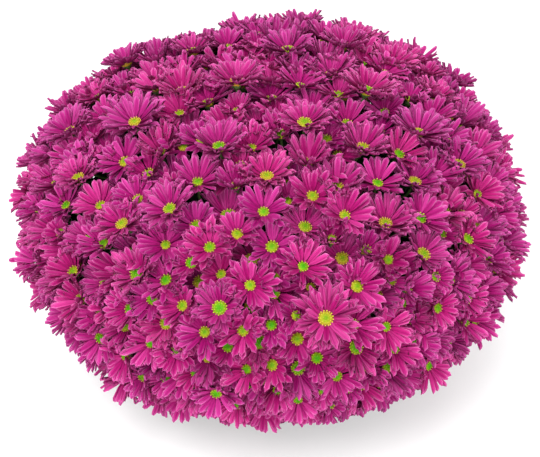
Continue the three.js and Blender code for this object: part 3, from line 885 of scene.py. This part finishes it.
def make_soil(material, rng):
    """The soil: a crumbly crown inside the rim, closed below."""
    rings, sides = SOIL_RINGS, SOIL_SIDES
    inner = POT_TOP_RADIUS - POT_WALL - SOIL_CLEARANCE
    floor_radius = pot_radius(SOIL_BOTTOM) - POT_WALL - SOIL_FLOOR_CLEARANCE
    points = [level_ring(sides, radius, SOIL_BOTTOM) for radius in (SOIL_MIDDLE, floor_radius)]
    for i in range(rings):
        share = 1 - i / rings
        crown = SOIL_CROWN * min(1.0, (1 - share) / CROWN_SPAN) - SOIL_SINK
        rough = rng.uniform(*CRUMBS, sides) * (RIM_CRUMBS if i == 0 else 1)
        swing = 1 + rng.uniform(-CRUMB_SWING, CRUMB_SWING, sides) / rings * (0 if i == 0 else 1)
        points.append(level_ring(sides, inner * share * swing[:, None], SOIL_TOP + crown + rough))
    points.append(np.array([[0, 0, SOIL_BOTTOM], [0, 0, SOIL_TOP + SOIL_CROWN - SOIL_SINK]]))
    rows = len(points) - 1
    piece = Piece()
    piece.add(np.concatenate(points), ring_quads(rows, sides), end_fans(rows, sides))
    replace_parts(piece.build("soil_crumbs", material, "soil"), "soil")


# Materials

SPECULAR = "Specular IOR Level"


class Nodes:
    """A material's node tree, with short ways to add and link nodes."""

    def __init__(self, name):
        self.material = bpy.data.materials.new(name)
        self.material.use_nodes = True
        self.tree = self.material.node_tree
        self.shader = self.tree.nodes["Principled BSDF"]

    def add(self, kind, inputs=None, **settings):
        """A node with its settings, and its inputs linked or set."""
        node = self.tree.nodes.new(kind)
        for key, value in settings.items():
            setattr(node, key, value)
        for key, value in (inputs or {}).items():
            self.put(node.inputs[key], value)
        return node

    def put(self, socket, value):
        """Links a socket to another, or sets its value."""
        if isinstance(value, bpy.types.NodeSocket):
            self.tree.links.new(value, socket)
        else:
            socket.default_value = value

    def maths(self, operation, a, b=0.0):
        """The value of a maths node."""
        return self.add("ShaderNodeMath", {0: a, 1: b}, operation=operation).outputs[0]

    def scaled(self, value, factor, plus=0.0, clamp=False):
        """A value times a factor, plus another number."""
        inputs = {0: value, 1: factor, 2: plus}
        return self.add("ShaderNodeMath", inputs, operation="MULTIPLY_ADD", use_clamp=clamp).outputs[0]

    def mix(self, factor, a, b):
        """A mix of two colours."""
        colours = [c if isinstance(c, bpy.types.NodeSocket) else (*c, 1.0) for c in (a, b)]
        node = self.add("ShaderNodeMix", {0: factor, 6: colours[0], 7: colours[1]}, data_type="RGBA")
        return node.outputs[2]

    def ramp(self, factor, stops):
        """A colour ramp over a factor."""
        node = self.add("ShaderNodeValToRGB", {"Fac": factor})
        elements = node.color_ramp.elements
        while len(elements) < len(stops):
            elements.new(0.5)
        for element, (place, colour) in zip(elements, stops):
            element.position = place
            element.color = (*colour, 1.0)
        return node.outputs["Color"]

    def noise(self, vector, scale, detail=2.0, roughness=0.5):
        """The value of a noise texture."""
        inputs = {"Vector": vector, "Scale": scale, "Detail": detail, "Roughness": roughness}
        return self.add("ShaderNodeTexNoise", inputs).outputs["Fac"]

    def uv(self):
        """The mesh's UV vector, its u and its v."""
        vector = self.add("ShaderNodeUVMap", uv_map="uv").outputs[0]
        split = self.add("ShaderNodeSeparateXYZ", {0: vector})
        return vector, split.outputs[0], split.outputs[1]

    def tone(self):
        """The three numbers of the tone attribute."""
        colour = self.add("ShaderNodeVertexColor", layer_name="tone").outputs["Color"]
        split = self.add("ShaderNodeSeparateColor", {0: colour})
        return tuple(split.outputs)

    def place(self):
        """The place on the object, in metres."""
        return self.add("ShaderNodeTexCoord").outputs["Object"]

    def vary(self, colour, value, hue=0.5):
        """A colour with its hue and value changed."""
        inputs = {"Hue": hue, "Saturation": 1.0, "Value": value, "Color": colour}
        return self.add("ShaderNodeHueSaturation", inputs).outputs[0]

    def finish(self, colour, roughness, height, strength, distance, **others):
        """Gives the shader its colour, roughness, a bump from a height, and any other input."""
        inputs = {"Strength": strength, "Distance": distance, "Height": height}
        bump = self.add("ShaderNodeBump", inputs).outputs[0]
        inputs = {"Base Color": colour, "Roughness": roughness, "Normal": bump, **others}
        for name, value in inputs.items():
            self.put(self.shader.inputs[name], value)
        return self.material


def petal_material():
    """Magenta petals: deep at the base, partly as painted shade; dark streaks; painted shade along the middle
    crease and rim; paler by the tip, partly as painted highlight; painted highlights in pale flecks by the
    rim; and paler below.
    """
    nodes = Nodes("petal_magenta")
    vector, u, v = nodes.uv()
    petal_tone, bloom_tone, under = nodes.tone()
    across = nodes.maths("FRACT", u)
    edge = nodes.maths("ABSOLUTE", nodes.scaled(across, 2.0, -1.0))
    # The ramp along the petal: deep at the base, partly its own colour and partly painted shade where the
    # petals overlap, and pale at the tip, partly its own colour and partly painted highlight.
    inner = [(0.0, (0.225, 0.002, 0.070)), (0.3, (0.330, 0.004, 0.122)), (0.7, (0.385, 0.008, 0.156))]
    colour = nodes.ramp(v, inner + [(0.87, (0.450, 0.022, 0.208)), (1.0, (0.620, 0.100, 0.360))])
    stretched = nodes.add("ShaderNodeMapping", {"Vector": vector, "Scale": (9.0, 1.1, 1.0)}).outputs[0]
    streak = nodes.noise(stretched, 1.6, 3.0, 0.6)
    # This mask is 1 on the middle line and at the rim, and -1 halfway between them; it sets the groove's bump
    # and the painted shade in the crease and between the petals.
    groove_and_shade = nodes.maths("COSINE", nodes.scaled(across, 2 * TURN))
    dark = nodes.scaled(nodes.scaled(streak, 2.2, -0.92, True), 0.5)
    colour = nodes.mix(dark, colour, (0.230, 0.003, 0.088))
    # Painted shade: darker along the middle crease and at the rim, where the petals shade each other.
    colour = nodes.mix(nodes.scaled(groove_and_shade, 0.20, 0.20), colour, (0.140, 0.001, 0.054))
    faded = nodes.scaled(nodes.maths("POWER", petal_tone, 2.5), 0.42)
    colour = nodes.mix(faded, colour, (0.560, 0.055, 0.285))
    # Painted highlights: pale flecks on the outer half, next to the rim, where the petal edges catch the
    # light.
    highlight_noise = nodes.noise(stretched, 5.5, 2.0, 0.6)
    painted_highlight = nodes.maths("MULTIPLY", nodes.maths("POWER", edge, 5.0), nodes.scaled(highlight_noise, 3.8, -1.25, True))
    painted_highlight = nodes.maths("MULTIPLY", painted_highlight, nodes.scaled(v, 2.6, -1.1, True))
    colour = nodes.mix(painted_highlight, colour, (0.760, 0.250, 0.520))
    colour = nodes.mix(nodes.scaled(under, 0.45), colour, (0.550, 0.085, 0.300))
    value = nodes.maths("ADD", nodes.scaled(bloom_tone, 0.18), nodes.scaled(petal_tone, 0.16, 0.86))
    colour = nodes.vary(colour, value, nodes.scaled(bloom_tone, 0.014, 0.493))
    height = nodes.maths("ADD", nodes.scaled(groove_and_shade, -0.5), nodes.scaled(streak, 0.7))
    sheen = {"Sheen Weight": 0.02, "Sheen Roughness": 0.4, "Sheen Tint": (1.0, 0.55, 0.80, 1)}
    rough = nodes.scaled(streak, 0.2, 0.42)
    return nodes.finish(colour, rough, height, 0.8, 0.0007, **sheen, **{SPECULAR: 0.08})


def disc_material():
    """The eye: bright green in the middle, yellow-green at the rim, ochre when ripe and, up the dome, partly
    as painted light, paler floret tips, and painted shade between the florets.
    """
    nodes = Nodes("disc_florets")
    _, share, ripe = nodes.uv()
    _, _, tip = nodes.tone()
    green = [(0.0, (0.040, 0.270, 0.002)), (0.4, (0.070, 0.350, 0.003)), (0.74, (0.210, 0.410, 0.006))]
    fresh = nodes.ramp(share, green + [(1.0, (0.500, 0.430, 0.018))])
    ochre = [(0.0, (0.150, 0.310, 0.007)), (0.5, (0.380, 0.370, 0.013)), (1.0, (0.600, 0.310, 0.035))]
    ripe_and_lit_colour = nodes.ramp(share, ochre)
    # Ochre by ripeness, and up the dome partly as painted light on the top blooms.
    colour = nodes.mix(nodes.scaled(ripe, 1.5, -0.5, True), fresh, ripe_and_lit_colour)
    grain = nodes.noise(nodes.place(), 900.0)
    colour = nodes.mix(nodes.scaled(nodes.maths("MULTIPLY", tip, share), 0.55), colour, (0.760, 0.600, 0.150))
    # Painted shade: darker green on the eye's surface and at the foot of each floret, between the florets.
    colour = nodes.mix(nodes.scaled(tip, -0.25, 0.25), colour, (0.040, 0.130, 0.002))
    colour = nodes.vary(colour, nodes.scaled(grain, 0.6, 0.75))
    return nodes.finish(colour, nodes.scaled(grain, 0.25, 0.45), grain, 0.4, 0.0003, **{SPECULAR: 0.08})


def leaf_material():
    """Near-black green leaves, partly their own dark green and partly painted shade for the gaps between the
    blooms, with paler veins, matt and greyer underneath.
    """
    nodes = Nodes("leaf_green")
    _, u, v = nodes.uv()
    hue_tone, value_tone, under = nodes.tone()
    across = nodes.maths("ABSOLUTE", nodes.scaled(u, 1.0, -0.5))
    blotch = nodes.noise(nodes.place(), 60.0, 4.0)
    # The greens are darkened nearly to black, partly as painted shade in the gaps between the blooms.
    greens_with_painted_shade = [(0.3, (0.004, 0.009, 0.005)), (0.55, (0.008, 0.020, 0.007)), (0.8, (0.018, 0.038, 0.011))]
    colour = nodes.ramp(blotch, greens_with_painted_shade)
    slanted = nodes.maths("SUBTRACT", v, nodes.scaled(across, 1.1))
    wave = nodes.scaled(nodes.maths("SINE", nodes.scaled(slanted, 44.0)), 0.5, 0.5)
    side_vein = nodes.scaled(nodes.maths("POWER", wave, 14.0), 0.6)
    vein = nodes.maths("MAXIMUM", nodes.scaled(across, -45.0, 1.0, True), side_vein)
    colour = nodes.mix(nodes.scaled(vein, 0.45), colour, (0.040, 0.062, 0.022))
    colour = nodes.mix(nodes.scaled(under, 0.6), colour, (0.026, 0.038, 0.024))
    colour = nodes.vary(colour, nodes.scaled(value_tone, 0.8, 0.6), nodes.scaled(hue_tone, 0.03, 0.485))
    height = nodes.maths("SUBTRACT", blotch, nodes.scaled(vein, 0.8))
    return nodes.finish(colour, nodes.scaled(blotch, 0.3, 0.38), height, 0.5, 0.0008, **{SPECULAR: 0.2})


def stem_material():
    """Green ribbed stems and bracts, brown and woody low down."""
    nodes = Nodes("stem_green")
    vector, _, _ = nodes.uv()
    young, _, _ = nodes.tone()
    place = nodes.place()
    level = nodes.add("ShaderNodeSeparateXYZ", {0: place}).outputs[2]
    grain = nodes.noise(place, 220.0, 4.0)
    green = nodes.ramp(grain, [(0.3, (0.040, 0.085, 0.015)), (0.7, (0.090, 0.160, 0.034))])
    woody = nodes.ramp(grain, [(0.3, (0.075, 0.055, 0.024)), (0.7, (0.170, 0.130, 0.060))])
    low = nodes.scaled(level, -14.0, 2.66, True)
    trunk = nodes.maths("MULTIPLY", low, nodes.scaled(young, -1.0, 1.0))
    ribs = nodes.add("ShaderNodeTexWave", {"Vector": vector, "Scale": 3.0, "Distortion": 0.6}).outputs["Fac"]
    colour = nodes.mix(trunk, green, woody)
    return nodes.finish(colour, nodes.scaled(grain, 0.3, 0.42), nodes.maths("ADD", ribs, grain), 0.5, 0.0004)


def pot_material():
    """Dark nursery plastic with a fine moulded grain and dusty scuffs."""
    nodes = Nodes("pot_plastic")
    place = nodes.place()
    scuff = nodes.noise(place, 26.0, 7.0, 0.7)
    dust = nodes.scaled(scuff, 1.2, -0.55, True)
    colour = nodes.mix(dust, (0.022, 0.026, 0.024), (0.090, 0.083, 0.070))
    return nodes.finish(colour, nodes.scaled(scuff, 0.35, 0.28), nodes.noise(place, 1500.0), 0.25, 0.0002)


def soil_material():
    """Moist dark potting soil with lighter fibres."""
    nodes = Nodes("potting_soil")
    place = nodes.place()
    clod = nodes.noise(place, 120.0, 8.0, 0.7)
    browns = [(0.3, (0.010, 0.006, 0.004)), (0.55, (0.035, 0.022, 0.013)), (0.8, (0.110, 0.075, 0.045))]
    crumbs = nodes.add("ShaderNodeTexVoronoi", {"Vector": place, "Scale": 300.0}).outputs["Distance"]
    height = nodes.maths("ADD", clod, crumbs)
    return nodes.finish(nodes.ramp(clod, browns), 0.9, height, 0.9, 0.002)


def floor_material():
    """A matt white studio floor with a barely visible unevenness, which gives off a little light."""
    nodes = Nodes("studio_white")
    cloud = nodes.noise(nodes.place(), 3.0)
    colour = nodes.mix(cloud, (0.63, 0.63, 0.63), (0.65, 0.65, 0.65))
    glow = {"Emission Color": (1, 1, 1, 1), "Emission Strength": FLOOR_GLOW}
    return nodes.finish(colour, 0.9, cloud, 0.05, 0.0005, **glow)


# Stage, light and camera, in metres

STAGE_HALF_WIDTH = 5.0
STAGE_FRONT, STAGE_BACK, STAGE_TOP = -4.0, 2.2, 5.0
COVE_RADIUS = 1.2
COVE_STEPS = 16
FLOOR_GLOW = 0.35
WORLD_STRENGTH = 1.0
# Each area light: its name, place, width and power in watts.
LIGHTS = [
    ("key", (-0.5, -1.5, 2.1), 1.1, 48),
    ("front", (0.2, -2.1, 0.7), 1.6, 24),
    ("top", (0.3, -0.4, 2.4), 1.5, 6),
]
LENS_MM = 72
SENSOR_MM = 36
ELEVATION = math.radians(32)
DISTANCE = 1.005
TARGET = (-0.0010, 0.0, 0.1447)


def make_stage():
    """A pale floor that runs up into a pale backdrop."""
    bends = np.linspace(0, TURN / 4, COVE_STEPS)[1:]
    line = [(STAGE_FRONT, 0.0), (STAGE_BACK, 0.0)]
    line += [(STAGE_BACK + COVE_RADIUS * math.sin(a), COVE_RADIUS * (1 - math.cos(a))) for a in bends]
    line.append((STAGE_BACK + COVE_RADIUS, STAGE_TOP))
    points = [(x, y, z) for y, z in line for x in (-STAGE_HALF_WIDTH, STAGE_HALF_WIDTH)]
    faces = [(2 * i, 2 * i + 1, 2 * i + 3, 2 * i + 2) for i in range(len(line) - 1)]
    mesh = bpy.data.meshes.new("floor")
    mesh.from_pydata(points, [], faces, shade_flat=False)
    mesh.materials.append(floor_material())
    placed("floor", mesh)


def make_lights():
    """Soft studio lights in a white surround."""
    for name, place, size, power in LIGHTS:
        data = bpy.data.lights.new(name, "AREA")
        data.shape = "SQUARE"
        data.size = size
        data.energy = power
        light = placed(name, data)
        light.location = place
        light.rotation_euler = (Vector(TARGET) - Vector(place)).to_track_quat("-Z", "Y").to_euler()
    world = bpy.data.worlds.new("studio")
    world.use_nodes = True
    background = world.node_tree.nodes["Background"]
    background.inputs["Color"].default_value = (1, 1, 1, 1)
    background.inputs["Strength"].default_value = WORLD_STRENGTH
    bpy.context.scene.world = world
    bpy.context.scene.view_settings.view_transform = "Standard"


def make_camera():
    """The camera at the photo's angle, level, and in front of the plant."""
    data = bpy.data.cameras.new("camera")
    data.sensor_width = SENSOR_MM
    data.lens = LENS_MM
    camera = placed("camera", data)
    back = Vector((0, -math.cos(ELEVATION), math.sin(ELEVATION)))
    camera.location = Vector(TARGET) + DISTANCE * back
    camera.rotation_euler = (TURN / 4 - ELEVATION, 0, 0)
    bpy.context.scene.camera = camera


def make_plant(rng):
    """The blooms, leaves and stems, as four pieces in the place of each spray."""
    polar_at = area_table()
    sprays = make_sprays(polar_at)
    leads = make_leads(polar_at, sprays, rng)
    fillers = make_fillers(polar_at, sprays, leads, rng)
    # Petals stop short of these eyes; the deeper blooms come after them and may be covered.
    eyes = np.array([[*bloom["centre"], bloom["eye"]] for bloom in leads + fillers[:FILLER_COUNT]])
    looks = [
        ("petals", petal_material(), "petals"),
        ("discs", disc_material(), "disc"),
        ("stems", stem_material(), "stem"),
        ("leaves", leaf_material(), "leaf"),
    ]
    for k, spray in enumerate(sprays):
        pieces = {part: Piece() for part, _, _ in looks}
        for bloom in spray["leads"] + spray["fillers"]:
            add_bloom(pieces["petals"], pieces["discs"], bloom, eyes, rng)
            add_cup_and_stem(pieces["stems"], bloom, rng)
        add_main_stem(pieces["stems"], spray)
        add_foliage(pieces["leaves"], spray, rng)
        node = f"spray_{k + 1:02d}"
        for part, material, slot in looks:
            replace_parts(pieces[part].build(f"{node}_{part}", material, slot), node)


look = np.random.default_rng(LOOK_SEED)
make_plant(look)
make_pot(pot_material())
make_soil(soil_material(), look)
make_stage()
make_lights()
make_camera()
